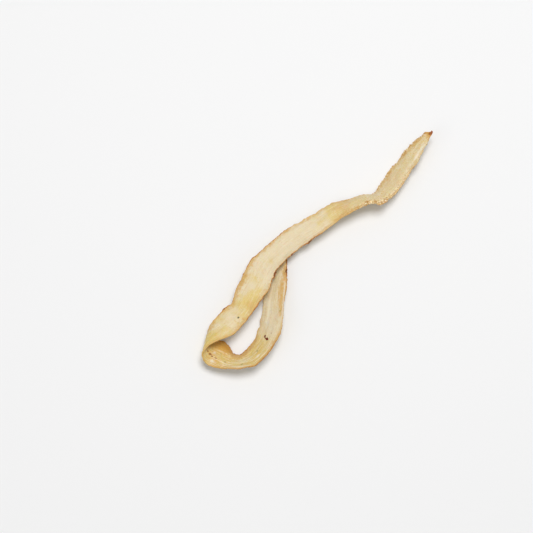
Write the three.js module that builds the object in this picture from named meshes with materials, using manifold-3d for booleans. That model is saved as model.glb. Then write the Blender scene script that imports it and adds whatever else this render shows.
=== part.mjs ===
// One dried lengthwise slice of Solomon's seal rhizome, as one grown piece.
// A long pale ribbon of flesh with a thin edge of skin. It starts at a narrow brown tip, runs through
// a neck where it stands on its edge and widens to a broad band. The band folds over, hooks round and
// ends, tapered, under itself. Millimetres, +Z up; the slice lies on the plane z = 0 on three low spots.
import * as THREE from "three";
import { mergeVertices } from "three/addons/utils/BufferGeometryUtils.js";
import Module from "manifold-3d";

// Driving dimensions
const FLESH_THICKNESS = 1.9; // halfway across the slice
const EDGE_THINNING = 0.42; // share of that thickness lost at the skin edge
const THICKNESS_WANDER = 0.12; // share by which the thickness comes and goes along the slice
const END_THICKNESS = 1.1; // at the tip and at the far end
const END_TAPER = 7; // length over which an end thins down
const END_DOME = 0.6; // how far the closing of an end stands out
const CUP = 0.4; // how far the edges curl to the inner face
const EDGE_WANDER = 0.38; // how ragged each edge is, in the plane of the slice
const EDGE_WAVE = 0.4; // how far each edge waves out of that plane
const RIDGE_HEIGHT = 0.08; // low ridges that run along the slice
const NODE_HEIGHT = 0.16; // raised ring of a node, on both faces
const NODE_BULGE = 0.3; // how far a node pushes the edges out
const NODE_REACH = 1.3; // half length of a node ring along the slice
const STEPS_PER_STATION = 5;
const SECTION_POINTS = 22;
const SECTION_SQUARENESS = { across: 0.8, through: 0.6 }; // 1 is an ellipse, less is squarer
const GROUND_SIZE = 160;

// Lengths of the waves that each kind of unevenness is made of, with the share of each.
const RAGGED_SCALES = [
  { length: 7, share: 0.6 },
  { length: 3.1, share: 0.35 },
  { length: 1.7, share: 0.2 },
];
const WAVE_SCALES = [
  { length: 5, share: 1 },
  { length: 2, share: 0.4 },
];
const THICKNESS_SCALES = [{ length: 6, share: 1 }];
const RIDGE_SCALES = [{ length: 25, share: 1 }];

// Where each kind of unevenness starts in the table of scattered values.
const ROWS = {
  left: { ragged: 10, wave: 15 },
  right: { ragged: 20, wave: 25 },
  thickness: 30,
  ridges: 40,
};

// The two edges at each station from the tip to the far end: left x, y, z, then right x, y, z.
const STATIONS = [
  [47.8, 51.2, 7.6, 48.8, 50.0, 8.0],
  [46.0, 50.8, 6.4, 47.4, 48.6, 7.6],
  [43.4, 49.6, 4.2, 46.2, 46.4, 7.4],
  [39.0, 46.0, 2.0, 43.4, 41.2, 6.8],
  [35.0, 41.4, 1.1, 40.4, 36.0, 6.5],
  [30.4, 35.4, -0.1, 36.0, 29.0, 6.3],
  [26.4, 29.4, 0.9, 32.0, 23.8, 7.4],
  [23.6, 25.6, 1.2, 26.6, 19.6, 8.7],
  [20.4, 25.2, 1.2, 21.0, 19.4, 9.5],
  [16.6, 24.4, 1.4, 17.4, 17.6, 9.3],
  [11.4, 22.2, 2.3, 13.2, 15.4, 8.8],
  [5.6, 20.8, 3.8, 8.8, 12.8, 7.8],
  [-2.2, 15.6, 4.9, 2.0, 7.4, 7.0],
  [-8.8, 11.6, 5.4, -4.2, 3.4, 6.7],
  [-15.8, 7.2, 5.8, -9.8, -0.6, 6.5],
  [-22.6, 1.2, 6.1, -15.8, -6.2, 6.5],
  [-27.8, -4.0, 6.4, -19.0, -11.0, 6.8],
  [-31.8, -10.8, 6.6, -20.9, -16.9, 7.1],
  [-34.6, -16.7, 6.5, -25.0, -22.6, 7.4],
  [-36.4, -22.8, 6.3, -29.2, -29.0, 7.6],
  [-40.4, -26.6, 6.0, -33.0, -33.4, 8.0],
  [-44.2, -30.4, 5.4, -37.6, -37.0, 8.5],
  [-45.8, -33.4, 4.2, -42.6, -39.2, 8.9],
  [-46.4, -35.4, 2.8, -46.0, -41.0, 8.5],
  [-45.6, -37.2, 1.6, -48.4, -44.0, 7.4],
  [-43.4, -37.8, 1.0, -48.0, -47.0, 6.0],
  [-40.2, -38.0, 0.8, -45.4, -49.2, 5.2],
  [-37.4, -40.2, 0.5, -41.6, -50.4, 5.6],
  [-35.6, -43.2, -0.15, -37.0, -50.8, 7.0],
  [-32.8, -43.8, -0.15, -31.8, -50.8, 7.9],
  [-29.2, -40.6, 0.5, -26.4, -49.4, 7.7],
  [-26.4, -36.8, 0.8, -20.8, -43.6, 7.3],
  [-24.6, -32.2, 0.9, -17.0, -36.6, 7.0],
  [-23.6, -27.0, 1.0, -15.0, -29.2, 6.4],
  [-22.8, -21.4, 1.0, -14.6, -22.6, 5.2],
  [-22.0, -15.8, 0.8, -13.8, -16.0, 3.8],
  [-20.8, -10.0, 0.5, -13.4, -9.8, 2.5],
  [-19.0, -4.6, 0.4, -13.2, -4.0, 1.4],
  [-17.4, -0.8, 0.5, -13.6, 0.2, 0.8],
];

// How far along the slice each node ring sits, measured from the tip.
const NODE_RINGS = [13, 33, 52, 74, 96, 119, 153, 176, 195];

const wasm = await Module();
wasm.setup();

// A fixed pseudo-random value from -1 to 1 for a whole number in a given row.
function scatter(index, row) {
  const value = Math.sin(index * 127.1 + row * 311.7) * 43758.5453;
  return 2 * (value - Math.floor(value)) - 1;
}

// A smooth wandering value from -1 to 1 along x, different for each row.
function wander(x, row) {
  const index = Math.floor(x);
  const blend = THREE.MathUtils.smootherstep(x - index, 0, 1);
  return THREE.MathUtils.lerp(scatter(index, row), scatter(index + 1, row), blend);
}

// Wandering at several scales along the slice, each in a row of its own from firstRow on.
function unevenness(distance, scales, firstRow) {
  return scales.reduce(
    (sum, { length, share }, i) => sum + share * wander(distance / length, firstRow + i),
    0,
  );
}

// 1 on a node ring and 0 away from it.
function nodeAt(distance) {
  let strength = 0;
  for (const ring of NODE_RINGS) {
    strength += Math.exp(-(((distance - ring) / NODE_REACH) ** 2));
  }
  return strength;
}

// The middle of the slice at each step, with its directions and its distance from the tip.
function framesAlong() {
  const edge = (first) =>
    new THREE.CatmullRomCurve3(
      STATIONS.map((row) => new THREE.Vector3(...row.slice(first, first + 3))),
      false,
      "catmullrom",
    );
  const leftEdge = edge(0);
  const rightEdge = edge(3);
  const steps = (STATIONS.length - 1) * STEPS_PER_STATION;
  const frames = [];
  for (let i = 0; i <= steps; i += 1) {
    const left = leftEdge.getPoint(i / steps);
    const right = rightEdge.getPoint(i / steps);
    const middle = left.clone().lerp(right, 0.5);
    const across = right.clone().sub(left);
    frames.push({ middle, halfWidth: across.length() / 2, across: across.normalize() });
  }
  let distance = 0;
  frames.forEach((frame, i) => {
    const before = frames[Math.max(i - 1, 0)];
    const after = frames[Math.min(i + 1, steps)];
    frame.along = after.middle.clone().sub(before.middle).normalize();
    frame.normal = frame.along.clone().cross(frame.across).normalize();
    distance += i === 0 ? 0 : frame.middle.distanceTo(before.middle);
    frame.distance = distance;
  });
  return frames;
}

// A point of the skin: u runs from -1 at the left edge to 1 at the right, v from -1 on the inner face
// to 1 on the outer face.
function surfacePoint(frame, length, u, v) {
  const { distance, halfWidth } = frame;
  const rows = u < 0 ? ROWS.left : ROWS.right;
  const node = nodeAt(distance);
  const fromEnd = Math.min(distance, length - distance);
  const taper = THREE.MathUtils.smoothstep(fromEnd, 0, END_TAPER);
  const nearEdge = Math.abs(u) ** 3;
  const ragged = EDGE_WANDER * unevenness(distance, RAGGED_SCALES, rows.ragged);
  const spread = taper * nearEdge * (ragged + NODE_BULGE * node);
  const sideways = u * halfWidth + Math.sign(u) * spread;

  const wave = EDGE_WAVE * unevenness(distance, WAVE_SCALES, rows.wave);
  const bend = taper * (nearEdge * wave - CUP * (u * u - 0.4));

  const swelling = 1 + THICKNESS_WANDER * unevenness(distance, THICKNESS_SCALES, ROWS.thickness);
  const flesh = THREE.MathUtils.lerp(END_THICKNESS, FLESH_THICKNESS, taper);
  const thickness = flesh * swelling * (1 - EDGE_THINNING * u * u);
  const ridgeShift = unevenness(distance, RIDGE_SCALES, ROWS.ridges);
  const ridges = RIDGE_HEIGHT * Math.cos(Math.PI * (3 * u + ridgeShift));
  const relief = taper * (1 - u * u) * (ridges + NODE_HEIGHT * node);

  return frame.middle
    .clone()
    .addScaledVector(frame.across, sideways)
    .addScaledVector(frame.normal, bend + v * (thickness / 2 + relief));
}

// A sine or cosine as a coordinate of a section that is squarer than an ellipse.
function squared(value, squareness) {
  return Math.sign(value) * Math.abs(value) ** squareness;
}

// The closed skin of the slice: rings of a rounded flat section, with a domed closing at both ends.
function sliceGeometry() {
  const frames = framesAlong();
  const length = frames.at(-1).distance;
  const points = [];
  for (const frame of frames) {
    for (let k = 0; k < SECTION_POINTS; k += 1) {
      const angle = (2 * Math.PI * k) / SECTION_POINTS;
      const u = squared(Math.cos(angle), SECTION_SQUARENESS.across);
      const v = squared(Math.sin(angle), SECTION_SQUARENESS.through);
      points.push(surfacePoint(frame, length, u, v));
    }
  }
  const first = frames[0];
  const last = frames.at(-1);
  const tip = points.push(first.middle.clone().addScaledVector(first.along, -END_DOME)) - 1;
  const end = points.push(last.middle.clone().addScaledVector(last.along, END_DOME)) - 1;
  const lastRing = (frames.length - 1) * SECTION_POINTS;
  const faces = [];
  for (let k = 0; k < SECTION_POINTS; k += 1) {
    const next = (k + 1) % SECTION_POINTS;
    for (let ring = 0; ring < lastRing; ring += SECTION_POINTS) {
      const ahead = ring + SECTION_POINTS;
      faces.push(ring + k, ahead + next, ahead + k);
      faces.push(ring + k, ring + next, ahead + next);
    }
    faces.push(tip, next, k);
    faces.push(end, lastRing + k, lastRing + next);
  }
  const geometry = new THREE.BufferGeometry().setFromPoints(points);
  geometry.setIndex(faces);
  return geometry;
}

// A closed geometry as a solid that can be cut.
function solidOf(geometry) {
  const bare = geometry.clone();
  bare.deleteAttribute("normal");
  bare.deleteAttribute("uv");
  const merged = mergeVertices(bare);
  return new wasm.Manifold(
    new wasm.Mesh({
      numProp: 3,
      vertProperties: merged.attributes.position.array,
      triVerts: new Uint32Array(merged.index.array),
    }),
  );
}

// A solid back as a geometry.
function geometryOf(solid) {
  const mesh = solid.getMesh();
  const geometry = new THREE.BufferGeometry();
  geometry.setAttribute("position", new THREE.BufferAttribute(mesh.vertProperties, 3));
  geometry.setIndex(new THREE.BufferAttribute(mesh.triVerts, 1));
  geometry.computeVertexNormals();
  return geometry;
}

// Everything under the plane that the slice lies on, which presses its three low spots flat.
function groundGeometry() {
  const ground = new THREE.BoxGeometry(GROUND_SIZE, GROUND_SIZE, GROUND_SIZE);
  return ground.translate(0, 0, -GROUND_SIZE / 2);
}

const flesh = new THREE.MeshStandardMaterial({ color: 0xecd9ab, roughness: 0.62, metalness: 0 });
const resting = solidOf(sliceGeometry()).subtract(solidOf(groundGeometry()));
const slice = new THREE.Mesh(geometryOf(resting), flesh);
slice.name = "rhizome_slice";

const group = new THREE.Group();
group.name = "dried_solomons_seal_rhizome_slice";
group.add(slice);

export default group;
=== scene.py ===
# A dried lengthwise slice of Solomon's seal rhizome: the fine ribbon of flesh and skin, its materials,
# a pale floor, soft light and the camera. Lengths are in millimetres and times MM in the scene.
import math

import bpy
import numpy as np
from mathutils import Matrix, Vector


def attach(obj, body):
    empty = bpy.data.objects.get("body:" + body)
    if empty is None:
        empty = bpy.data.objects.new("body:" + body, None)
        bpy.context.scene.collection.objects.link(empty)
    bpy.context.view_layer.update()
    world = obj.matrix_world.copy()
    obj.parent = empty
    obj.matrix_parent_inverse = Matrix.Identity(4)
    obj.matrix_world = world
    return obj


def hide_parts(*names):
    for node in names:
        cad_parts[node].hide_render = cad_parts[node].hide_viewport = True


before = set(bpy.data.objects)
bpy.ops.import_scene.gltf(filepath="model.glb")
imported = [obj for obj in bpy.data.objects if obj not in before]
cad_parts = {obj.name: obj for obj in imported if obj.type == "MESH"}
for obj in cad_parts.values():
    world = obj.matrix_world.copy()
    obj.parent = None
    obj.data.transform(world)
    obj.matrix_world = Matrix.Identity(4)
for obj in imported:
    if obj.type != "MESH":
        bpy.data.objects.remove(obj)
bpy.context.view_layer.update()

MM = 0.001

# The slice, as in its solid
FLESH_THICKNESS = 1.9
EDGE_THINNING = 0.42
THICKNESS_WANDER = 0.12
END_THICKNESS = 1.1
END_TAPER = 7.0
END_DOME = 0.6
CUP = 0.4
CUP_LEVEL = 0.4  # the share of the cup's depth that its middle rises; the edges drop by the rest
EDGE_WANDER = 0.38
EDGE_WAVE = 0.4
EDGE_POWER = 3  # how closely what happens to an edge stays near it
RIDGE_HEIGHT = 0.08
RIDGES_ACROSS = 3
NODE_HEIGHT = 0.16
NODE_BULGE = 0.3
NODE_REACH = 1.3
SQUARENESS_ACROSS = 0.8
SQUARENESS_THROUGH = 0.6
NODE_RINGS = [13, 33, 52, 74, 96, 119, 153, 176, 195]

# Unevenness: lengths along the slice and their shares, and the rows of fixed random values they read
RAGGED_SCALES = [(7.0, 0.6), (3.1, 0.35), (1.7, 0.2)]
WAVE_SCALES = [(5.0, 1.0), (2.0, 0.4)]
THICKNESS_SCALES = [(6.0, 1.0)]
RIDGE_SCALES = [(25.0, 1.0)]
FRAY_SCALES = [(1.9, 0.7), (0.9, 0.5)]
LEFT_RAGGED_ROW, LEFT_WAVE_ROW = 10, 15
RIGHT_RAGGED_ROW, RIGHT_WAVE_ROW = 20, 25
THICKNESS_ROW = 30
RIDGE_ROW = 40
LEFT_FRAY_ROW, RIGHT_FRAY_ROW = 60, 70
OUTER_RELIEF_ROW, INNER_RELIEF_ROW = 100, 200
LEFT_SKIN_ROW, RIGHT_SKIN_ROW = 300, 320
BARK_ROW = 340
SCATTER_STEPS = (127.1, 311.7, 269.5)
SCATTER_SCALE = 43758.5453

# The two edges at each station from the tip to the far end: left x, y, z, then right x, y, z.
STATIONS = [
    [47.8, 51.2, 7.6, 48.8, 50.0, 8.0],
    [46.0, 50.8, 6.4, 47.4, 48.6, 7.6],
    [43.4, 49.6, 4.2, 46.2, 46.4, 7.4],
    [39.0, 46.0, 2.0, 43.4, 41.2, 6.8],
    [35.0, 41.4, 1.1, 40.4, 36.0, 6.5],
    [30.4, 35.4, -0.1, 36.0, 29.0, 6.3],
    [26.4, 29.4, 0.9, 32.0, 23.8, 7.4],
    [23.6, 25.6, 1.2, 26.6, 19.6, 8.7],
    [20.4, 25.2, 1.2, 21.0, 19.4, 9.5],
    [16.6, 24.4, 1.4, 17.4, 17.6, 9.3],
    [11.4, 22.2, 2.3, 13.2, 15.4, 8.8],
    [5.6, 20.8, 3.8, 8.8, 12.8, 7.8],
    [-2.2, 15.6, 4.9, 2.0, 7.4, 7.0],
    [-8.8, 11.6, 5.4, -4.2, 3.4, 6.7],
    [-15.8, 7.2, 5.8, -9.8, -0.6, 6.5],
    [-22.6, 1.2, 6.1, -15.8, -6.2, 6.5],
    [-27.8, -4.0, 6.4, -19.0, -11.0, 6.8],
    [-31.8, -10.8, 6.6, -20.9, -16.9, 7.1],
    [-34.6, -16.7, 6.5, -25.0, -22.6, 7.4],
    [-36.4, -22.8, 6.3, -29.2, -29.0, 7.6],
    [-40.4, -26.6, 6.0, -33.0, -33.4, 8.0],
    [-44.2, -30.4, 5.4, -37.6, -37.0, 8.5],
    [-45.8, -33.4, 4.2, -42.6, -39.2, 8.9],
    [-46.4, -35.4, 2.8, -46.0, -41.0, 8.5],
    [-45.6, -37.2, 1.6, -48.4, -44.0, 7.4],
    [-43.4, -37.8, 1.0, -48.0, -47.0, 6.0],
    [-40.2, -38.0, 0.8, -45.4, -49.2, 5.2],
    [-37.4, -40.2, 0.5, -41.6, -50.4, 5.6],
    [-35.6, -43.2, -0.15, -37.0, -50.8, 7.0],
    [-32.8, -43.8, -0.15, -31.8, -50.8, 7.9],
    [-29.2, -40.6, 0.5, -26.4, -49.4, 7.7],
    [-26.4, -36.8, 0.8, -20.8, -43.6, 7.3],
    [-24.6, -32.2, 0.9, -17.0, -36.6, 7.0],
    [-23.6, -27.0, 1.0, -15.0, -29.2, 6.4],
    [-22.8, -21.4, 1.0, -14.6, -22.6, 5.2],
    [-22.0, -15.8, 0.8, -13.8, -16.0, 3.8],
    [-20.8, -10.0, 0.5, -13.4, -9.8, 2.5],
    [-19.0, -4.6, 0.4, -13.2, -4.0, 1.4],
    [-17.4, -0.8, 0.5, -13.6, 0.2, 0.8],
]

# Fine mesh
RINGS = 880
FACE_POINTS = 45
EDGE_POINTS = 8
FACE_END = 0.93  # how far across the face points reach, where the edge points take over
CURVE_SAMPLES = 4000

# The tip narrows to a small nub that stands out and bends towards the left edge.
NUB_LENGTH = 1.6
NUB_PINCH = 0.08
STALK_LENGTH = 0.9
STALK_SHARPNESS = 8  # how suddenly the stalk starts
STALK_PINCH = 0.46
STALK_REACH = 0.6
STALK_BEND = 0.5
STALK_BEND_POWER = 1.5
STALK_DOME = 0.2

# Short swellings of an edge: distance from the tip, edge, half length and how far out.
EDGE_SWELLINGS = [
    (2.2, -1, 0.95, 0.9),
    (5.9, -1, 1.2, 0.5),
]

# Heights of the fine relief
FRAY_WIDTH = 0.2  # fine raggedness of the edges in the plane of the slice
FIBRE_HEIGHT = 0.05
GROOVE_DEPTH = 0.1
LUMP_HEIGHT = 0.12
SMALL_LUMP_SHARE = 0.4
PUCKER_HEIGHT = 0.016
PIT_DEPTH = 0.12
NODE_WRINKLE = 0.06
CRUMB_HEIGHT = 0.06  # where the flesh is speckled
LIP_HEIGHT = 0.1  # the skin dries less than the flesh and stands proud of it
GUTTER_DEPTH = 0.07  # and the flesh sinks beside it
CRINKLE_HEIGHT = 0.17
BARK_ROUGHNESS = 0.5
MARK_DEPTH = 0.12  # of the pits under the dark, red and green marks
END_RELIEF_SHARE = 0.25  # how much of the relief is left at both ends
SKIN_SMOOTHING = 0.6  # how much of the relief of the flesh the skin hides

# Sizes of the fine relief, along the slice and across it
LANE_SIZE = (16.0, 5.0)
LANE_DRIFT = 0.9  # how far fibres and creases wander sideways
FIBRE_SIZE = (12.0, 0.72)
CREASE_SIZE = (13.0, 1.7)
GROOVE_PATCH_SIZE = (8.0, 3.0)
LUMP_SIZE = (8.0, 2.6)
SMALL_LUMP_SIZE = (3.4, 1.6)
PUCKER_SIZE = (0.9, 0.6)
PIT_SIZE = (0.8, 0.7)
WRINKLE_SIZE = (0.55, 2.5)
CRUMB_SIZE = (0.7, 0.6)

# Where the fine relief is
GROOVE_SHARE = 0.18  # how near zero the wandering field has to be for a groove
GROOVE_PATCHES = (-0.3, 0.5)
PIT_START = 0.7  # the value of its field above which there is a pit
LIP_REACH = 0.28
GUTTER_PLACE = 0.85
GUTTER_REACH = 0.45
CRINKLE_REACH = 0.6
BARK_REACH = 0.42
RELIEF_BLEND = 0.5  # how far through the slice one face's relief goes over into the other's
COLOUR_BLEND = 0.6  # and one face's colours

# Crinkles of the skin: length along, how often round the edge, start of the noise there, and share.
CRINKLES = [(0.9, 1.5, 5.0, 1.0), (0.4, 3.0, 9.0, 0.5)]
BARK_GRAIN = (0.4, 2.0, 3.0)

# Bits of dark bark left on an edge: distance from the tip, edge, half length and height.
BARK_BITS = [
    (95.0, 1, 1.9, 0.32),
    (73.0, 1, 1.3, 0.28),
    (83.2, 1, 0.8, 0.2),
    (121.0, -1, 0.9, 0.22),
    (151.5, -1, 0.9, 0.15),
    (199.0, 1, 1.2, 0.24),
]

# How much skin is left along each edge. This table and the next ones hold a distance from the tip
# and the share, reach or amount there.
SKIN_LEFT = [
    (0, 1.0), (2, 0.5), (5, 0.7), (10, 0.6), (14, 0.35), (24, 0.25), (36, 0.15), (72, 0.12), (79, 0.8),
    (95, 0.75), (103, 0.4), (112, 0.3), (121, 0.6), (127, 0.3), (133, 0.15), (140, 0.5), (147, 1.05),
    (156, 1.0), (162, 0.5), (168, 0.1), (198, 0.15), (204, 0.8), (208, 1.0),
]
SKIN_RIGHT = [
    (0, 1.0), (1.5, 0.4), (3, 0.02), (13, 0.02), (16, 0.15), (34, 0.1), (36, 0.12), (42, 0.12), (46, 0.04),
    (64, 0.04), (68, 0.5), (73, 0.85), (77, 0.4), (84, 0.5), (91, 0.55), (94, 0.9), (97, 0.9), (100, 0.5),
    (106, 0.5), (112, 0.65), (118, 0.4), (124, 0.15), (137, 0.05), (143, 0.2), (156, 0.3), (164, 0.5),
    (172, 0.35), (180, 0.15), (196, 0.4), (199, 0.9), (208, 1.0),
]

# How far the tan colour of the skin side reaches over the faces.
BLUSH_LEFT = [
    (0, 0.8), (3, 2.4), (9, 3.4), (14, 2.8), (20, 2.4), (28, 2.8), (36, 1.8), (44, 1.0), (52, 2.2),
    (60, 1.2), (70, 1.5), (76, 0.9), (82, 1.4), (92, 1.6), (96, 2.0), (101, 1.8), (104.5, 2.6),
    (110, 2.5), (114, 1.6), (118, 2.0), (124, 0.9), (130, 2.2), (140, 1.8), (147, 4.4), (156, 4.2),
    (163, 2.8), (169, 1.3), (176, 0.5), (200, 0.3), (208, 0.8),
]
BLUSH_RIGHT = [
    (0, 1.4), (3, 1.4), (5, 0.2), (12, 0.1), (16, 1.1), (24, 0.8), (34, 1.1), (37, 1.5), (43, 1.7),
    (48, 1.7), (54, 1.8), (60, 1.0), (64, 1.4), (70, 0.8), (95, 0.6), (104, 1.4), (112, 1.4),
    (120, 1.7), (128, 1.1), (140, 0.8), (146, 1.2), (156, 0.8), (166, 1.2), (172, 1.6), (176, 0.7),
    (182, 0.9), (190, 1.6), (198, 2.2), (202, 2.0), (208, 0.8),
]

# How rough each edge is, against the usual.
ROUGH_LEFT = [(0, 0.6), (2, 1.8), (9, 2.4), (14, 1.5), (30, 1.3), (40, 0.8), (145, 0.8), (208, 1.2)]
ROUGH_RIGHT = [
    (0, 0.6), (4, 1.2), (30, 1.1), (35, 2.4), (43, 2.4), (46, 0.8), (90, 0.7), (94, 1.2), (97, 1.0),
    (101, 0.7), (112, 0.8), (130, 0.6), (208, 1.2),
]

# How much dry crumb there is on each edge, brown and white.
CRUMBS_LEFT = [
    (0, 0.0), (2, 0.8), (12, 1.0), (20, 0.5), (32, 0.6), (36, 0.9), (43, 0.9), (49, 0.4), (56, 0.0),
    (208, 0.0),
]
CRUMBS_RIGHT = [
    (0, 0.0), (16, 0.0), (20, 0.3), (34, 0.5), (36, 1.0), (43, 1.0), (47, 0.3), (56, 0.2), (66, 0.0),
    (208, 0.0),
]

# How yellow and clear the flesh is, on the outer and the inner face; round the fold on the inner face it
# is also painted warm shade, amber in places.
BUTTER_OUTER = [
    (0, 0.75), (5, 0.75), (12, 0.45), (20, 0.5), (27, 0.95), (36, 0.65), (46, 0.9), (52, 1.1), (58, 0.85),
    (63, 0.25), (70, 0.1), (98, 0.12), (104, 0.3), (112, 0.45), (118, 0.45), (128, 0.5), (134, 0.7),
    (140, 0.7), (150, 0.5), (208, 0.4),
]
BUTTER_AND_FOLD_SHADE_INNER = [
    (0, 0.4), (120, 0.6), (132, 1.0), (142, 0.95), (150, 0.75), (158, 0.72), (166, 0.85), (170, 0.5),
    (174, 0.15), (208, 0.15),
]

# Clear yellow patches: distance from the tip, place across, face, reach along and across, amount.
BUTTER_PATCHES = [
    (110.5, 1.8, 1, 5.5, 2.6, 0.6),
    (112.5, 4.0, 1, 6.0, 1.8, 0.3),
    (28.5, -0.5, 1, 4.0, 2.8, 0.45),
    (54.5, 0.3, 1, 5.5, 2.6, 0.35),
]

# How grey beige and dull the flesh is: the arm's own tone, and on the tip and neck partly painted shade
# where they turn from the light.
BEIGE_AND_SHADE_OUTER = [
    (0, 0.4), (4, 0.6), (12, 0.8), (30, 0.9), (44, 0.85), (50, 0.5), (58, 0.15), (68, 0.0), (120, 0.0),
    (208, 0.3),
]
BEIGE_INNER = [(0, 0.5), (150, 0.0), (164, 0.1), (170, 0.4), (174, 0.8), (200, 0.9), (208, 0.6)]

# How speckled with tan and white the flesh is.
SPECKLE = [
    (0, 0.9), (4, 1.0), (10, 0.9), (15, 0.5), (30, 0.4), (35, 1.0), (44, 1.0), (48, 0.3), (60, 0.15),
    (140, 0.2), (146, 0.45), (160, 0.35), (170, 0.2), (180, 0.35), (208, 0.35),
]

# How clearly the fibres show as pale and tan streaks.
STREAKS_OUTER = [(0, 0.4), (46, 0.45), (60, 0.36), (98, 0.32), (106, 0.42), (208, 0.42)]
STREAKS_INNER = [(0, 0.4), (138, 0.6), (145, 1.2), (162, 1.2), (168, 0.6), (208, 0.5)]

# Stripes along the slice: from and to, place across at both ends, face, half width and strength.
TAN_STRIPES = [
    (177.0, 198.0, 4.3, 1.9, -1, 0.95, 0.85),
    (182.0, 196.0, 2.35, 1.0, -1, 0.16, 0.7),
    (140.0, 150.0, -1.6, -2.2, -1, 0.3, 0.6),
    (4.0, 8.5, -2.3, -1.5, 1, 0.35, 0.9),
]
CHALK_STRIPES = [
    (146.5, 160.0, 1.9, 2.0, -1, 0.24, 0.95),
    (149.5, 160.5, 4.3, 5.0, -1, 0.24, 0.8),
    (152.0, 166.0, 0.4, 1.1, -1, 0.2, 0.6),
    (171.0, 190.0, -1.9, -1.5, -1, 1.5, 0.75),
    (174.0, 198.0, 5.2, 3.5, -1, 0.38, 0.8),
    (4.0, 16.0, 2.5, 3.7, 1, 0.6, 0.8),
]
STRIPE_FADE = 0.3  # the share of its length over which a stripe fades at each end

# Small marks: distance from the tip, place across, face, radius and how much longer than wide.
# The amber spot is painted warm shade inside the fold, under the band.
FOLD_SHADE_AMBER_MARKS = [(143.6, -3.6, -1, 2.4, 1.8)]
BROWN_GOLD_MARKS = [(148.0, -4.6, -1, 1.5, 2.4)]
DARK_MARKS = [(119.8, 1.76, 1, 0.4, 1.0)]
RED_BROWN_MARKS = [
    (170.1, -0.5, -1, 0.42, 1.5),
    (169.5, 0.25, -1, 0.36, 1.0),
    (169.6, 1.1, -1, 0.6, 1.0),
]
RED_MARKS = [
    (0.95, 0.3, 1, 0.55, 1.0),
    (139.6, 1.38, -1, 0.36, 1.5),
    (141.3, 1.8, -1, 0.42, 1.6),
    (142.5, 2.4, -1, 0.34, 1.3),
    (144.2, 2.5, -1, 0.32, 1.6),
    (172.6, 1.9, -1, 0.2, 1.0),
]
SMUDGES = [
    (14.2, -3.1, 1, 0.8, 1.5),
    (16.6, -3.9, 1, 0.7, 1.6),
    (24.5, -4.1, 1, 0.6, 1.8),
    (78.6, -4.5, 1, 0.75, 2.2),
    (7.4, -1.9, 1, 0.6, 1.2),
    (58.0, 4.4, 1, 0.6, 2.0),
]
GREEN_MARKS = [
    (163.1, 0.55, -1, 0.42, 1.0),
    (148.3, 2.4, -1, 0.4, 1.0),
    (155.0, 2.92, -1, 0.38, 1.4),
    (145.4, -0.4, -1, 0.26, 1.0),
    (182.0, 3.6, -1, 0.35, 1.2),
]
# The pale spots are painted highlights on the hook.
PAINTED_HIGHLIGHT_MARKS = [
    (162.3, 2.94, -1, 0.6, 1.3),
    (143.3, 4.3, -1, 0.6, 1.4),
    (142.6, 0.3, -1, 0.45, 1.2),
]

# Colours, in sRGB from 0 to 255
CREAM = (224, 208, 173)
BUTTER = (216, 190, 108)
AMBER = (208, 160, 68)
BEIGE = (214, 198, 160)
CHALK = (233, 223, 199)
TAN = (208, 167, 95)
DEEP_TAN = (192, 140, 62)
STRIPE_TAN = (205, 159, 74)
BROWN_GOLD = (184, 130, 44)
BLOSSOM = (226, 190, 158)
GOLDEN = (200, 148, 60)
SMUDGE = (196, 147, 66)
BROWN_CRUMB = (172, 118, 48)
WHITE_CRUMB = (248, 232, 194)
SKIN_LIGHT = (206, 152, 70)
SKIN_MID = (174, 108, 42)
SKIN_DARK = (104, 52, 18)
RUST = (158, 82, 16)
DARK = (52, 40, 18)
RED_BROWN = (112, 38, 8)
RED = (148, 76, 22)
GREEN = (158, 146, 88)

# Noises of the colours: how fine, how many finer layers they have, and how strong those are
NOISES = {
    "patches": (0.13, 3.0, 0.6),
    "bloom": (0.32, 4.0, 0.65),
    "powder": (3.2, 2.0, 0.6),
    "near_skin": (0.7, 4.0, 0.62),
    "mottle": (0.9, 2.0, 0.5),
    "tan_grain": (1.7, 2.0, 0.6),
    "stripe_rim": (1.1, 3.0, 0.65),
    "skin_tone": (1.5, 4.0, 0.7),
    "crumbs": (1.5, 1.0, 0.5),
    "surface_grain": (5.0, 3.0, 0.6),
}
WHITE_GRAIN = (2.4, 2.0, 0.6)
SKIN_PATCHES = (0.8, 4.0, 0.68)
MARK_RIMS = (2.2, 3.0, 0.6)

# Noises drawn out along the slice: how fine along and across, then as above
FIBRE_NOISES = {
    "streaks": (0.1, 1.6, 1.0, 4.0, 0.62),
    "threads": (0.15, 3.4, 1.0, 2.0, 0.55),
    "surface_fibres": (0.35, 6.0, 1.0, 3.0, 0.6),
}
FACE_GAP = 3.0  # how far apart the two faces are in the space that the noises are read in
WHITE_GRAIN_PLACE = 30.0  # the white grain is read there, far from the tan one
SKIN_TURN = 1.5  # how often the skin's noise changes round an edge

# Layers of colour in the order they are laid: noise, its values where the layer starts and is full,
# strength and colour.
STREAK_LAYERS = [
    ("streaks", (0.52, 0.7), 0.65, TAN),
    ("threads", (0.55, 0.68), 0.45, DEEP_TAN),
    ("streaks", (0.48, 0.3), 0.8, CHALK),
    ("threads", (0.45, 0.33), 0.7, CHALK),
]
SPECKLE_LAYERS = [
    ("mottle", (0.56, 0.66), 0.6, BLOSSOM),
    ("mottle", (0.44, 0.34), 0.6, BUTTER),
    ("tan_grain", (0.54, 0.64), 1.0, TAN),
    ("white_grain", (0.53, 0.65), 0.85, CHALK),
]
CRUMB_LAYERS = [
    ("crumbs", (0.54, 0.58), 0.8, BROWN_CRUMB),
    ("crumbs", (0.47, 0.43), 0.9, WHITE_CRUMB),
]
CRUMB_REACH = (2.4, 0.5)  # no crumbs at the first distance from the edge, all at the second

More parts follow.
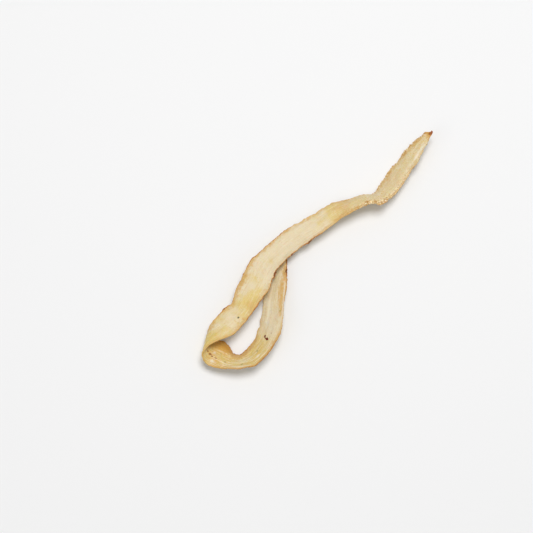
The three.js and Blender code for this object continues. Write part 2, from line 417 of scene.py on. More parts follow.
# Flesh: values between which a colour comes in, and strengths
BUTTER_WEIGHT = 0.62
BUTTER_RANGE = (0.62, 0.98)
AMBER_RANGE = (0.98, 1.3)
BEIGE_STRENGTH = 0.8
BLOOM_RANGE = (0.45, 0.68)
POWDER_RANGE = (0.4, 0.65)
POWDER_STRENGTH = 0.5
PORE_FINENESS = 0.55
PORE_SIZE = 0.16
PORE_RIM = (0.04, -0.04)
PORE_STRENGTH = 0.4

# Tan blush beside the skin: how its reach wanders, as factor and shift, and its two depths
BLUSH_WANDER = (3.0, -0.4)
BLUSH_RANGE = (0.4, -1.6)
BLUSH_STRENGTH = 0.78
BLUSH_UNDER_WHITE = 0.45  # how much of it the white grain hides
DEEP_BLUSH_RANGE = (-1.2, -3.2)
DEEP_BLUSH_GRAIN = (0.35, 0.6)
DEEP_BLUSH_STRENGTH = 0.55

# Stripes: how ragged, where they come in, and how the fibres break the tan ones up
STRIPE_RAGGEDNESS = (1.4, -0.7)
STRIPE_CORE = (0.0, 0.5)
TAN_STRIPE_RANGE = (-0.1, 0.9)
TAN_STRIPE_THREADS = (0.35, 0.65)
TAN_STRIPE_STRENGTH = (0.4, 0.5)
CHALK_STRIPE_RANGE = (0.0, 0.9)
CHALK_STRIPE_STRENGTH = 0.75

# Skin and bark
SKIN_WANDER = (3.2, -0.6)
SKIN_WIDTH = 0.4
SKIN_PRESENCE = (0.0, 0.5)
SKIN_STRENGTH = 0.75
FAINT_SKIN_PRESENCE = (0.0, 0.14)
FAINT_SKIN_STRENGTH = 0.2
SKIN_RIM = (0.06, -0.1)
SKIN_DARKENING = 0.3  # how much darker the skin is where more of it is left
SKIN_MID_RANGE = (0.5, 0.75)
SKIN_DARK_RANGE = (0.75, 0.95)
BARK_DARK_RANGE = (0.55, 0.85)
BARK_WANDER = 1.6
BARK_RANGE = (1.2, 1.45)
BARK_STRENGTH = 0.9

# The golden and the rust-brown end of the tip: how ragged, from and to, and strength
GOLDEN_RAGGEDNESS = 2.4
GOLDEN_RANGE = (4.0, 2.4)
GOLDEN_STRENGTH = 0.95
RUST_RAGGEDNESS = 0.8
RUST_RANGE = (1.5, 1.0)
RUST_STRENGTH = 1.0

# Small marks in the order they are painted: marks, colour, strength and softness of the rim
MARK_LAYERS = [
    (FOLD_SHADE_AMBER_MARKS, AMBER, 0.8, 0.8),
    (BROWN_GOLD_MARKS, BROWN_GOLD, 0.75, 0.8),
    (SMUDGES, SMUDGE, 0.75, 0.7),
    (GREEN_MARKS, GREEN, 0.7, 0.35),
    (PAINTED_HIGHLIGHT_MARKS, CHALK, 0.75, 0.7),
    (RED_MARKS, RED, 0.85, 0.35),
    (DARK_MARKS, DARK, 0.9, 0.35),
    (RED_BROWN_MARKS, RED_BROWN, 1.0, 0.2),
]
PITTED_MARKS = DARK_MARKS + RED_BROWN_MARKS + RED_MARKS + GREEN_MARKS
MARK_RAGGEDNESS = (0.9, 0.9, 0.0)
MARK_THROUGH = 0.5  # how much a place's distance through the slice counts

# Gloss, light in the flesh and bump
FLESH_ROUGHNESS = 0.5
POWDER_ROUGHNESS = 0.2
BUTTER_GLOSS = 0.12
SKIN_ROUGHNESS = 0.15
SPECULAR_LEVEL = 0.38
SUBSURFACE_WEIGHT = 0.3
SUBSURFACE_RADIUS = (1.0, 0.62, 0.3)
SUBSURFACE_DEPTH = 0.6
BUMP_GRAIN = 0.7
BUMP_STRENGTH = 0.5
BUMP_HEIGHT = 0.08

# Floor, lights and camera. The lights' places and sizes are in metres, and their power in watts.
FLOOR_HALF = 1500.0
FLOOR_DROP = 0.05
FLOOR_GREY = 0.86
FLOOR_ROUGHNESS = 0.9
WORLD_STRENGTH = 0.4
KEY_PLACE, KEY_SIZE, KEY_POWER = (0.1, 0.24, 1.08), 0.55, 8.2
FILL_PLACE, FILL_SIZE, FILL_POWER = (-0.7, -0.5, 0.7), 0.8, 1.3
CAMERA_ELEVATION = 78.0
CAMERA_DISTANCE = 700.0
CAMERA_TARGET = (-22.0, -7.0, 5.0)
PHOTO_WIDTH_PX = 533
MM_PER_PX = 0.42
SENSOR_WIDTH = 36.0


# Unevenness that is the same on every run


def scatter(index, row, column=0.0):
    """A fixed pseudo-random value from -1 to 1 for each whole number in a given row and column."""
    index_step, row_step, column_step = SCATTER_STEPS
    value = np.sin(index * index_step + row * row_step + column * column_step) * SCATTER_SCALE
    return 2.0 * (value - np.floor(value)) - 1.0


def smoother(x):
    """From 0 at 0 to 1 at 1, level and without a bend at both."""
    return x * x * x * (x * (x * 6.0 - 15.0) + 10.0)


def smoothstep(x, low, high):
    x = np.clip((x - low) / (high - low), 0.0, 1.0)
    return x * x * (3.0 - 2.0 * x)


def wander(x, row):
    """A smooth wandering value from -1 to 1 along x, different for each row."""
    index = np.floor(x)
    blend = smoother(x - index)
    return scatter(index, row) * (1.0 - blend) + scatter(index + 1, row) * blend


def field(x, y, row):
    """A smooth wandering value from -1 to 1 over a plane."""
    i = np.floor(x)
    j = np.floor(y)
    a = smoother(x - i)
    b = smoother(y - j)
    near = scatter(i, row, j) * (1.0 - a) + scatter(i + 1, row, j) * a
    far = scatter(i, row, j + 1) * (1.0 - a) + scatter(i + 1, row, j + 1) * a
    return near * (1.0 - b) + far * b


def unevenness(distance, scales, first_row):
    total = 0.0
    for i, (length, share) in enumerate(scales):
        total = total + share * wander(distance / length, first_row + i)
    return total


def hump(distance, reach):
    """1 at no distance, falling smoothly to almost nothing past twice the reach."""
    return np.exp(-((distance / reach) ** 2))


def node_strength(distance):
    return sum(hump(distance - ring, NODE_REACH) for ring in NODE_RINGS)


def stops(s, places):
    """The amount at each distance from the tip, in straight lines between the given stops."""
    place, amount = np.array(places, dtype=float).T
    return np.interp(s, place, amount)


def by_side(s, u, left, right):
    return np.where(u < 0, stops(s, left), stops(s, right))


def by_face(s, v, outer, inner):
    blend = smoothstep(v, -COLOUR_BLEND, COLOUR_BLEND)
    return stops(s, inner) * (1 - blend) + stops(s, outer) * blend


def edge_unevenness(s, u, scales, left_row, right_row):
    """The unevenness of the edge that each point is nearer to."""
    return np.where(u < 0, unevenness(s, scales, left_row), unevenness(s, scales, right_row))


# The ribbon's form. In all of it, s is the distance from the tip, u goes from -1 at the left edge to 1
# at the right one, and v from -1 on the inner face to 1 on the outer one.


def smooth_curve(points, t):
    """Points on the smooth curve through the given ones, at t from 0 to 1."""
    last_span = len(points) - 2
    place = t * (len(points) - 1)
    span = np.minimum(place.astype(int), last_span)
    x = (place - span)[:, None]
    before = 2 * points[0] - points[1]
    after = 2 * points[-1] - points[-2]
    padded = np.vstack([before, points, after])
    p0, p1, p2, p3 = (padded[span + k] for k in range(4))
    leave = 0.5 * (p2 - p0)
    arrive = 0.5 * (p3 - p1)
    a = 2 * p1 - 2 * p2 + leave + arrive
    b = -3 * p1 + 3 * p2 - 2 * leave - arrive
    return ((a * x + b) * x + leave) * x + p1


def unit(vectors):
    return vectors / np.linalg.norm(vectors, axis=-1, keepdims=True)


def frames_along():
    """Middle, half width, across, along, normal and distance from the tip at evenly spaced rings."""
    table = np.array(STATIONS)
    t = np.linspace(0.0, 1.0, CURVE_SAMPLES)
    left = smooth_curve(table[:, :3], t)
    right = smooth_curve(table[:, 3:], t)
    steps = np.linalg.norm(np.diff((left + right) / 2, axis=0), axis=1)
    distance = np.concatenate([[0.0], np.cumsum(steps)])
    even = np.linspace(0.0, distance[-1], RINGS)
    t = np.interp(even, distance, t)
    left = smooth_curve(table[:, :3], t)
    right = smooth_curve(table[:, 3:], t)
    middle = (left + right) / 2
    across = unit(right - left)
    along = unit(np.gradient(middle, axis=0))
    normal = unit(np.cross(along, across))
    half_width = np.linalg.norm(right - left, axis=1) / 2
    return middle, half_width, across, along, normal, even


def section_angles():
    """Angles round the section: even steps across both faces, closer ones round the edges."""
    face_u = np.linspace(FACE_END, -FACE_END, FACE_POINTS)
    face = np.arccos(np.sign(face_u) * np.abs(face_u) ** (1 / SQUARENESS_ACROSS))
    start = face[0]
    edge = np.linspace(-start, start, EDGE_POINTS + 2)[1:-1]
    return np.concatenate([edge, face, math.pi + edge, math.pi + face])


def stalk_share(s):
    """1 in the stalk of the tip and 0 past it."""
    return np.exp(-((s / STALK_LENGTH) ** STALK_SHARPNESS))


def place_across(s, u, half_width, taper):
    """How far each point lies from the middle line, with ragged, frayed and swollen edges."""
    near_edge = np.abs(u) ** EDGE_POWER
    ragged = EDGE_WANDER * edge_unevenness(s, u, RAGGED_SCALES, LEFT_RAGGED_ROW, RIGHT_RAGGED_ROW)
    fray = FRAY_WIDTH * edge_unevenness(s, u, FRAY_SCALES, LEFT_FRAY_ROW, RIGHT_FRAY_ROW)
    fray = fray * by_side(s, u, ROUGH_LEFT, ROUGH_RIGHT)
    spread = taper * near_edge * (ragged + fray + NODE_BULGE * node_strength(s))
    for place, side, reach, rise in EDGE_SWELLINGS:
        spread = spread + near_edge * rise * hump(s - place, reach) * (np.sign(u) == side)
    pinch = (1 - NUB_PINCH * hump(s, NUB_LENGTH)) * (1 - STALK_PINCH * stalk_share(s))
    return (u * half_width + np.sign(u) * spread) * pinch


def place_through(s, u, v, taper):
    """How far each point lies from the middle surface: waves, the cupped section and the thickness."""
    wave = EDGE_WAVE * edge_unevenness(s, u, WAVE_SCALES, LEFT_WAVE_ROW, RIGHT_WAVE_ROW)
    bend = taper * (np.abs(u) ** EDGE_POWER * wave - CUP * (u * u - CUP_LEVEL))
    swelling = 1 + THICKNESS_WANDER * unevenness(s, THICKNESS_SCALES, THICKNESS_ROW)
    flesh = END_THICKNESS + (FLESH_THICKNESS - END_THICKNESS) * taper
    thickness = flesh * swelling * (1 - EDGE_THINNING * u * u)
    ridge_turn = RIDGES_ACROSS * u + unevenness(s, RIDGE_SCALES, RIDGE_ROW)
    ridges = RIDGE_HEIGHT * np.cos(math.pi * ridge_turn)
    relief = taper * (1 - u * u) * (ridges + NODE_HEIGHT * node_strength(s))
    return bend + v * (thickness / 2 + relief)


def ribbon_points():
    """The coarse form on the fine grid, with the coordinates of each point on the slice."""
    middle, half_width, across, along, normal, distance = frames_along()
    angle = section_angles()
    u = np.sign(np.cos(angle)) * np.abs(np.cos(angle)) ** SQUARENESS_ACROSS
    v = np.sign(np.sin(angle)) * np.abs(np.sin(angle)) ** SQUARENESS_THROUGH
    u = np.broadcast_to(u, (RINGS, len(angle)))
    v = np.broadcast_to(v, (RINGS, len(angle)))
    s = distance[:, None]
    half_width = half_width[:, None]
    taper = smoothstep(np.minimum(s, distance[-1] - s), 0.0, END_TAPER)

    sideways = place_across(s, u, half_width, taper)
    lift = place_through(s, u, v, taper)
    lean = np.clip(1 - s / STALK_LENGTH, 0.0, 1.0) ** STALK_BEND_POWER
    middle = middle - along * STALK_REACH * stalk_share(s) - across * STALK_BEND * lean
    points = (
        middle[:, None, :]
        + across[:, None, :] * sideways[:, :, None]
        + normal[:, None, :] * lift[:, :, None]
    )
    ends = (middle[0] - along[0] * STALK_DOME, middle[-1] + along[-1] * END_DOME)
    edge_gap = (1 - np.abs(u)) * half_width
    s = np.broadcast_to(s, u.shape)
    return points, ends, s, u, v, sideways, edge_gap, taper


def outward(points):
    """The outward normal at each point of a grid of rings."""
    round_ring = np.roll(points, -1, axis=1) - np.roll(points, 1, axis=1)
    down_slice = np.gradient(points, axis=0)
    return unit(np.cross(round_ring, down_slice))


def mark_pits(s, across, v):
    """A shallow pit under each dark, red or green mark."""
    depth = 0.0
    for place, side_place, face, radius, length in PITTED_MARKS:
        away = ((s - place) / length) ** 2 + (across - side_place) ** 2
        on_face = np.sign(v) == face
        depth = depth + on_face * np.exp(-away / radius**2)
    return MARK_DEPTH * np.clip(depth, 0.0, 1.0)


def stripe_cover(s, v, across, stripes):
    """How much the given stripes cover each point, from 0 to 1."""
    cover = np.zeros(s.shape)
    for start, end, first_place, last_place, face, half_width, strength in stripes:
        centre = np.interp(s, [start, end], [first_place, last_place])
        over = hump(across - centre, half_width)
        fade = STRIPE_FADE * (end - start)
        ends = smoothstep(s, start, start + fade) * smoothstep(-s, -end, fade - end)
        on_face = np.sign(v) == face
        cover = np.maximum(cover, strength * over * ends * on_face)
    return cover


def patches(s, v, across, places):
    """How much the given soft patches add at each point."""
    total = 0.0
    for place, side_place, face, reach_along, reach_across, amount in places:
        away = ((s - place) / reach_along) ** 2 + ((across - side_place) / reach_across) ** 2
        total = total + amount * np.exp(-away) * (np.sign(v) == face)
    return total


def bark(s, u, edge_gap):
    """Height of the bits of bark on the edges, and how much each point is covered by them."""
    height = 0.0
    cover = 0.0
    at_edge = hump(edge_gap, BARK_REACH)
    for place, side, reach, rise in BARK_BITS:
        bit = hump(s - place, reach) * at_edge * (np.sign(u) == side)
        height = height + rise * bit
        cover = cover + bit
    return height, cover


def face_relief(s, across, row):
    """Relief of one face: fibres, grooves, lumps, puckers, pits, wrinkles at the nodes and crumbs."""

    def part(size, number, place=across):
        along_size, across_size = size
        return field(s / along_size, place / across_size, row + number)

    lane = across + LANE_DRIFT * part(LANE_SIZE, 0)
    fibres = part(FIBRE_SIZE, 1, lane)
    grooves = np.clip(1 - np.abs(part(CREASE_SIZE, 2, lane)) / GROOVE_SHARE, 0.0, 1.0)
    grooves = grooves * smoothstep(part(GROOVE_PATCH_SIZE, 3), *GROOVE_PATCHES)
    lumps = part(LUMP_SIZE, 4, lane) + SMALL_LUMP_SHARE * part(SMALL_LUMP_SIZE, 5, lane)
    puckers = part(PUCKER_SIZE, 6)
    pits = np.clip(part(PIT_SIZE, 7) - PIT_START, 0.0, 1.0) / (1 - PIT_START)
    wrinkles = node_strength(s) * part(WRINKLE_SIZE, 8)
    crumbs = stops(s, SPECKLE) * part(CRUMB_SIZE, 9)
    height = FIBRE_HEIGHT * fibres - GROOVE_DEPTH * grooves + LUMP_HEIGHT * lumps
    height = height + PUCKER_HEIGHT * puckers - PIT_DEPTH * pits + NODE_WRINKLE * wrinkles
    return height + CRUMB_HEIGHT * crumbs


def fine_relief(s, u, v, across, edge_gap):
    """Height to add along the normal: that of both faces, pits, the skin's lip and crinkles, and bark."""
    outer = smoothstep(v, -RELIEF_BLEND, RELIEF_BLEND)
    flesh = outer * face_relief(s, across, OUTER_RELIEF_ROW)
    flesh = flesh + (1 - outer) * face_relief(s, across, INNER_RELIEF_ROW) - mark_pits(s, across, v)
    lip = LIP_HEIGHT * hump(edge_gap, LIP_REACH)
    gutter = GUTTER_DEPTH * hump(edge_gap - GUTTER_PLACE, GUTTER_REACH)
    at_skin = hump(edge_gap, CRINKLE_REACH)
    skin_row = np.where(u < 0, LEFT_SKIN_ROW, RIGHT_SKIN_ROW)
    crinkle = 0.0
    for i, (length, turn, start, share) in enumerate(CRINKLES):
        crinkle = crinkle + share * field(s / length, v * turn + start, skin_row + i)
    crinkle = crinkle * by_side(s, u, ROUGH_LEFT, ROUGH_RIGHT)
    total = (1 - SKIN_SMOOTHING * at_skin) * flesh + lip - gutter + CRINKLE_HEIGHT * at_skin * crinkle
    bark_height, _ = bark(s, u, edge_gap)
    grain_length, grain_turn, grain_start = BARK_GRAIN
    grain = field(s / grain_length, v * grain_turn + grain_start, BARK_ROW)
    return total + bark_height * (1 + BARK_ROUGHNESS * grain)


def ribbon_faces(count):
    """Four-sided faces between the rings of count points each, and triangles that close both ends."""
    ring = np.arange(RINGS - 1)[:, None] * count
    k = np.arange(count)[None, :]
    following = (k + 1) % count
    quads = np.stack([ring + k, ring + following, ring + count + following, ring + count + k], axis=-1)
    faces = quads.reshape(-1, 4).tolist()
    tip = RINGS * count
    end = tip + 1
    last = (RINGS - 1) * count
    for i in range(count):
        j = (i + 1) % count
        faces.append((tip, j, i))
        faces.append((end, last + i, last + j))
    return faces


def keep_measures(mesh, s, u, v, across, edge_gap):
    """Stores numbers for each vertex, for the material to read. The two end points have their own."""
    _, bark_cover = bark(s, u, edge_gap)
    yellow = by_face(s, v, BUTTER_OUTER, BUTTER_AND_FOLD_SHADE_INNER) + patches(s, v, across, BUTTER_PATCHES)
    measures = {
        "along": (s, (0.0, s[-1, 0])),
        "across": (across, 0.0),
        "side": (v, 0.0),
        "edge_gap": (edge_gap, 0.0),
        "edge_side": (np.sign(u), 0.0),
        "skin_left_over": (by_side(s, u, SKIN_LEFT, SKIN_RIGHT), 1.0),
        "blush": (by_side(s, u, BLUSH_LEFT, BLUSH_RIGHT), 1.0),
        "bark": (bark_cover, 0.0),
        "crumbs": (by_side(s, u, CRUMBS_LEFT, CRUMBS_RIGHT), 0.0),
        "speckle": (stops(s, SPECKLE), 0.5),
        "streaks": (by_face(s, v, STREAKS_OUTER, STREAKS_INNER), 0.4),
        "butter": (yellow, 0.5),
        "tan_stripes": (stripe_cover(s, v, across, TAN_STRIPES), 0.0),
        "chalk_stripes": (stripe_cover(s, v, across, CHALK_STRIPES), 0.0),
        "beige": (by_face(s, v, BEIGE_AND_SHADE_OUTER, BEIGE_INNER), 0.5),
    }
    for name, (values, at_ends) in measures.items():
        flat = np.concatenate([values.reshape(-1), np.broadcast_to(at_ends, 2)])
        layer = mesh.attributes.new(name, "FLOAT", "POINT")
        layer.data.foreach_set("value", flat.astype(np.float32))


def build_ribbon():
    points, ends, s, u, v, across, edge_gap, taper = ribbon_points()
    height = fine_relief(s, u, v, across, edge_gap)
    height = height * (END_RELIEF_SHARE + (1 - END_RELIEF_SHARE) * taper)
    points = points + outward(points) * height[:, :, None]
    vertices = np.vstack([points.reshape(-1, 3), ends[0], ends[1]])
    vertices[:, 2] = np.maximum(vertices[:, 2], 0.0)

    mesh = bpy.data.meshes.new("rhizome_ribbon")
    mesh.from_pydata((vertices * MM).tolist(), [], ribbon_faces(points.shape[1]))
    mesh.shade_smooth()
    keep_measures(mesh, s, u, v, across, edge_gap)
    piece = bpy.data.objects.new("rhizome_ribbon", mesh)
    bpy.context.scene.collection.objects.link(piece)
    return piece


# Materials


def linear_colour(tint):
    """An sRGB colour from 0 to 255 as the linear one that shaders take."""

    def linear(value):
        value = value / 255
        return value / 12.92 if value <= 0.04045 else ((value + 0.055) / 1.055) ** 2.4

    return (*(linear(value) for value in tint), 1.0)


class Nodes:
    """Short ways to make and join shader nodes in one material."""

    # The places of the colour sockets of a mix node, which also has hidden ones of other kinds
    MIX_SHARE, MIX_A, MIX_B, MIX_RESULT = 0, 6, 7, 2

    def __init__(self, name):
        self.material = bpy.data.materials.new(name)
        self.material.use_nodes = True
        self.tree = self.material.node_tree
        self.shader = self.tree.nodes["Principled BSDF"]

    def make(self, kind, inputs=None, **settings):
        node = self.tree.nodes.new(kind)
        for key, value in settings.items():
            setattr(node, key, value)
        for key, value in (inputs or {}).items():
            self.put(node, key, value)
        return node

    def put(self, node, key, value):
        """Sets an input, or joins it where the value is another node's output."""
        if isinstance(value, bpy.types.NodeSocket):
            self.tree.links.new(value, node.inputs[key])
        else:
            node.inputs[key].default_value = value

    def attribute(self, name):
        return self.make("ShaderNodeAttribute", attribute_name=name).outputs["Fac"]

    def math(self, operation, a, b=0.0, c=0.0):
        return self.make("ShaderNodeMath", {0: a, 1: b, 2: c}, operation=operation).outputs[0]

    def times(self, a, b):
        return self.math("MULTIPLY", a, b)

    def plus(self, a, b):
        return self.math("ADD", a, b)

    def minus(self, a, b):
        return self.math("SUBTRACT", a, b)

    def scaled(self, value, factor, shift):
        """The value times the factor, plus the shift."""
        return self.math("MULTIPLY_ADD", value, factor, shift)

    def ramp(self, value, low, high):
        """0 below low, 1 above high, smooth between. Low may be the larger one."""
        node = self.make(
            "ShaderNodeMapRange",
            {"Value": value, "From Min": low, "From Max": high},
            interpolation_type="SMOOTHSTEP",
        )
        return node.outputs["Result"]

    def mix(self, share, a, b):
        """From a to b, each an sRGB colour or another node's output."""
        node = self.make("ShaderNodeMix", {self.MIX_SHARE: share}, data_type="RGBA")
        for key, tint in ((self.MIX_A, a), (self.MIX_B, b)):
            self.put(node, key, tint if isinstance(tint, bpy.types.NodeSocket) else linear_colour(tint))
        return node.outputs[self.MIX_RESULT]

    def paint(self, base, tint, share, strength=1.0):
        """Lays a tint over base, as strongly as share times strength."""
        return self.mix(self.times(share, strength), base, tint)

    def vector(self, x, y, z):
        return self.make("ShaderNodeCombineXYZ", {0: x, 1: y, 2: z}).outputs[0]

    def vector_math(self, operation, a, b, c=(0.0, 0.0, 0.0)):
        return self.make("ShaderNodeVectorMath", {0: a, 1: b, 2: c}, operation=operation).outputs[0]

    def length(self, vector):
        return self.make("ShaderNodeVectorMath", {0: vector}, operation="LENGTH").outputs["Value"]

    def noise(self, vector, settings, output="Fac"):
        scale, detail, roughness = settings
        node = self.make(
            "ShaderNodeTexNoise",
            {"Vector": vector, "Scale": scale, "Detail": detail, "Roughness": roughness},
        )
        return node.outputs[output]


class FleshNodes(Nodes):
    """The nodes of the slice's material, with the measures and the noises that its layers share."""

    def __init__(self):
        super().__init__("dried_flesh")
        self.along = self.attribute("along")
        self.across = self.attribute("across")
        self.side = self.attribute("side")
        self.edge_gap = self.attribute("edge_gap")
        self.skin_left_over = self.attribute("skin_left_over")
        self.sheet = self.vector(self.along, self.across, self.times(self.side, FACE_GAP))
        self.noises = {name: self.noise(self.sheet, settings) for name, settings in NOISES.items()}
        for name, (fine_along, fine_across, *settings) in FIBRE_NOISES.items():
            place = self.vector(
                self.times(self.along, fine_along),
                self.times(self.across, fine_across),
                self.side,
            )
            self.noises[name] = self.noise(place, settings)
        apart = self.vector(self.along, self.across, WHITE_GRAIN_PLACE)
        self.noises["white_grain"] = self.noise(apart, WHITE_GRAIN)
        turn = self.vector(self.along, self.times(self.side, SKIN_TURN), self.attribute("edge_side"))
        self.noises["skin_patches"] = self.noise(turn, SKIN_PATCHES)

    def noise_share(self, name, values, where):
        """How far a noise is between two values, times a measure that says where it counts."""
        return self.times(self.ramp(self.noises[name], *values), where)

    def paint_layers(self, base, layers, where):
        for name, values, strength, tint in layers:
            base = self.paint(base, tint, self.noise_share(name, values, where), strength)
        return base


def flesh_tones(n):
    """Cream flesh with butter-yellow, amber and grey beige parts, and how much butter there is. Amber in
    the fold and beige on the tip and neck are partly painted shade.
    """
    reach = n.plus(n.noises["patches"], n.times(n.attribute("butter"), BUTTER_WEIGHT))
    butter_amount = n.ramp(reach, *BUTTER_RANGE)
    base = n.mix(butter_amount, CREAM, BUTTER)
    base = n.mix(n.ramp(reach, *AMBER_RANGE), base, AMBER)
    return n.paint(base, BEIGE, n.attribute("beige"), BEIGE_STRENGTH), butter_amount


def powder_and_pores(n, base):
    bloom = n.ramp(n.noises["bloom"], *BLOOM_RANGE)
    base = n.paint(base, CHALK, n.noise_share("powder", POWDER_RANGE, bloom), POWDER_STRENGTH)
    pores = n.make("ShaderNodeTexVoronoi", {"Vector": n.sheet, "Scale": PORE_FINENESS})
    chance = n.make("ShaderNodeSeparateColor", {0: pores.outputs["Color"]}).outputs[0]
    pore_gap = n.minus(pores.outputs["Distance"], n.times(chance, PORE_SIZE))
    return n.paint(base, TAN, n.ramp(pore_gap, *PORE_RIM), PORE_STRENGTH)


def blush(n, base, speckle):
    """The tan that spreads from the skin over the faces, weaker under the white grain."""
    reach = n.times(n.attribute("blush"), n.scaled(n.noises["near_skin"], *BLUSH_WANDER))
    gap = n.minus(n.edge_gap, reach)
    _, white_values, _, _ = SPECKLE_LAYERS[-1]
    white = n.noise_share("white_grain", white_values, speckle)
    share = n.times(n.ramp(gap, *BLUSH_RANGE), BLUSH_STRENGTH)
    base = n.paint(base, TAN, share, n.scaled(white, -BLUSH_UNDER_WHITE, 1.0))
    deep = n.noise_share("tan_grain", DEEP_BLUSH_GRAIN, n.ramp(gap, *DEEP_BLUSH_RANGE))
    return n.paint(base, DEEP_TAN, deep, DEEP_BLUSH_STRENGTH)


def stripes(n, base):
    """Tan and chalk stripes with ragged rims. The tan ones are broken up by the threads."""
    ragged = n.scaled(n.noises["stripe_rim"], *STRIPE_RAGGEDNESS)
    tan_cover = n.attribute("tan_stripes")
    tan_line = n.ramp(n.plus(tan_cover, ragged), *TAN_STRIPE_RANGE)
    tan_line = n.times(tan_line, n.ramp(tan_cover, *STRIPE_CORE))
    threads = n.ramp(n.noises["threads"], *TAN_STRIPE_THREADS)
    base = n.paint(base, STRIPE_TAN, tan_line, n.scaled(threads, *TAN_STRIPE_STRENGTH))
    chalk_cover = n.attribute("chalk_stripes")
    chalk_line = n.ramp(n.minus(chalk_cover, ragged), *CHALK_STRIPE_RANGE)
    chalk_line = n.times(chalk_line, n.ramp(chalk_cover, *STRIPE_CORE))
    return n.paint(base, CHALK, chalk_line, CHALK_STRIPE_STRENGTH)


def skin_and_bark(n, base):
    """The skin along the edges and the bits of bark, and how much of the skin there is."""
    skin_patches = n.noises["skin_patches"]
    amount = n.times(n.skin_left_over, n.scaled(skin_patches, *SKIN_WANDER))
    reach = n.times(n.math("MAXIMUM", amount, 0.0), SKIN_WIDTH)
    faint = n.times(n.ramp(n.skin_left_over, *FAINT_SKIN_PRESENCE), FAINT_SKIN_STRENGTH)
    cover = n.scaled(n.ramp(amount, *SKIN_PRESENCE), SKIN_STRENGTH, faint)
    skin = n.times(n.ramp(n.minus(n.edge_gap, reach), *SKIN_RIM), cover)
    tone = n.scaled(n.skin_left_over, SKIN_DARKENING, n.noises["skin_tone"])
    skin_colour = n.mix(n.ramp(tone, *SKIN_MID_RANGE), SKIN_LIGHT, SKIN_MID)
    skin_colour = n.mix(n.ramp(tone, *SKIN_DARK_RANGE), skin_colour, SKIN_DARK)
    base = n.mix(skin, base, skin_colour)
    bark_reach = n.scaled(skin_patches, BARK_WANDER, n.attribute("bark"))
    bark_colour = n.mix(n.ramp(tone, *BARK_DARK_RANGE), SKIN_MID, SKIN_DARK)
    return n.paint(base, bark_colour, n.ramp(bark_reach, *BARK_RANGE), BARK_STRENGTH), skin


def crumbs(n, base):
    near_edge = n.times(n.attribute("crumbs"), n.ramp(n.edge_gap, *CRUMB_REACH))
    return n.paint_layers(base, CRUMB_LAYERS, near_edge)


def tip_tones(n, base):
    """The golden end of the tip and its rust-brown nub."""
    near_skin = n.noises["near_skin"]
    golden = n.ramp(n.scaled(near_skin, GOLDEN_RAGGEDNESS, n.along), *GOLDEN_RANGE)
    base = n.paint(base, GOLDEN, golden, GOLDEN_STRENGTH)
    rust = n.ramp(n.scaled(near_skin, RUST_RAGGEDNESS, n.along), *RUST_RANGE)
    return n.paint(base, RUST, rust, RUST_STRENGTH)


def small_marks(n, base):
    """Small marks with ragged rims, among them painted warm shade in the fold and painted highlights on
    the hook.
    """
    rims = n.vector_math("SUBTRACT", n.noise(n.sheet, MARK_RIMS, "Color"), (0.5, 0.5, 0.5))
    ragged_sheet = n.vector_math("MULTIPLY_ADD", rims, MARK_RAGGEDNESS, n.sheet)
    for marks, tint, strength, softness in MARK_LAYERS:
        for place, side_place, face, radius, length in marks:
            offset = n.vector_math("SUBTRACT", ragged_sheet, (place, side_place, face * FACE_GAP))
            away = n.length(n.vector_math("MULTIPLY", offset, (1 / length, 1.0, MARK_THROUGH)))
            share = n.ramp(away, radius * (1 + softness), radius * (1 - softness))
            base = n.paint(base, tint, share, strength)
    return base


def surface(n, butter_amount, skin):
    """Gloss, light that enters the flesh, and a fine bump of fibres and grain."""
    rough = n.scaled(n.noises["powder"], POWDER_ROUGHNESS, FLESH_ROUGHNESS)
    rough = n.scaled(butter_amount, -BUTTER_GLOSS, rough)
    n.put(n.shader, "Roughness", n.scaled(skin, SKIN_ROUGHNESS, rough))
    n.put(n.shader, "Specular IOR Level", SPECULAR_LEVEL)
    n.put(n.shader, "Subsurface Weight", SUBSURFACE_WEIGHT)
    n.put(n.shader, "Subsurface Radius", SUBSURFACE_RADIUS)
    n.put(n.shader, "Subsurface Scale", SUBSURFACE_DEPTH * MM)
    height = n.scaled(n.noises["surface_grain"], BUMP_GRAIN, n.noises["surface_fibres"])
    bump = n.make(
        "ShaderNodeBump",
        {"Height": height, "Strength": BUMP_STRENGTH, "Distance": BUMP_HEIGHT * MM},
    )
    n.put(n.shader, "Normal", bump.outputs["Normal"])


def flesh_material():
    n = FleshNodes()
    speckle = n.attribute("speckle")
    base, butter_amount = flesh_tones(n)
    base = n.paint_layers(base, STREAK_LAYERS, n.attribute("streaks"))
    base = powder_and_pores(n, base)
    base = n.paint_layers(base, SPECKLE_LAYERS, speckle)
    base = blush(n, base, speckle)
    base = stripes(n, base)
    base, skin = skin_and_bark(n, base)
    base = crumbs(n, base)
    base = tip_tones(n, base)
    base = small_marks(n, base)
    n.put(n.shader, "Base Color", base)
    surface(n, butter_amount, skin)
    return n.material


def floor_material():
    n = Nodes("pale_floor")
    n.put(n.shader, "Base Color", (FLOOR_GREY, FLOOR_GREY, FLOOR_GREY, 1.0))
    n.put(n.shader, "Roughness", FLOOR_ROUGHNESS)
    return n.material


# The scene round the slice


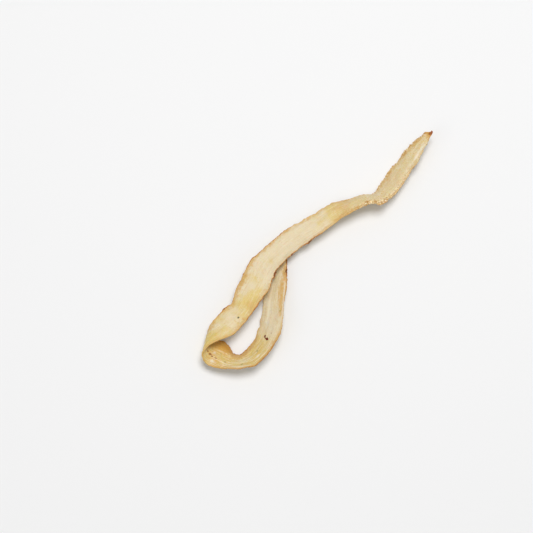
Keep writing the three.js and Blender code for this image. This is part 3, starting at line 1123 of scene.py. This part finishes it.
def make_floor():
    mesh = bpy.data.meshes.new("floor")
    half = FLOOR_HALF * MM
    corners = [(-half, -half, 0), (half, -half, 0), (half, half, 0), (-half, half, 0)]
    mesh.from_pydata(corners, [], [(0, 1, 2, 3)])
    floor = bpy.data.objects.new("floor", mesh)
    floor.location.z = -FLOOR_DROP * MM
    mesh.materials.append(floor_material())
    bpy.context.scene.collection.objects.link(floor)


def area_light(name, place, size, power):
    """A round lamp that shines at the middle of the slice."""
    data = bpy.data.lights.new(name, "AREA")
    data.shape = "DISK"
    data.size = size
    data.energy = power
    light = bpy.data.objects.new(name, data)
    light.location = place
    light.rotation_euler = (-Vector(place)).to_track_quat("-Z", "Y").to_euler()
    bpy.context.scene.collection.objects.link(light)


def make_light():
    world = bpy.data.worlds.new("studio")
    world.use_nodes = True
    background = world.node_tree.nodes["Background"]
    background.inputs["Color"].default_value = (1.0, 1.0, 1.0, 1.0)
    background.inputs["Strength"].default_value = WORLD_STRENGTH
    bpy.context.scene.world = world
    area_light("key", KEY_PLACE, KEY_SIZE, KEY_POWER)
    area_light("fill", FILL_PLACE, FILL_SIZE, FILL_POWER)


def make_camera():
    """The photograph's angle and framing."""
    data = bpy.data.cameras.new("camera")
    data.sensor_fit = "HORIZONTAL"
    data.sensor_width = SENSOR_WIDTH
    data.lens = SENSOR_WIDTH * CAMERA_DISTANCE / (PHOTO_WIDTH_PX * MM_PER_PX)
    camera = bpy.data.objects.new("camera", data)
    elevation = math.radians(CAMERA_ELEVATION)
    back = Vector((0.0, -math.cos(elevation), math.sin(elevation)))
    camera.location = (Vector(CAMERA_TARGET) + back * CAMERA_DISTANCE) * MM
    camera.rotation_euler = (-back).to_track_quat("-Z", "Y").to_euler()
    bpy.context.scene.collection.objects.link(camera)
    bpy.context.scene.camera = camera


ribbon = build_ribbon()
ribbon.data.materials.append(flesh_material())
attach(ribbon, "root")
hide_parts("rhizome_slice")

make_floor()
make_light()
make_camera()
bpy.context.scene.view_settings.view_transform = "Standard"
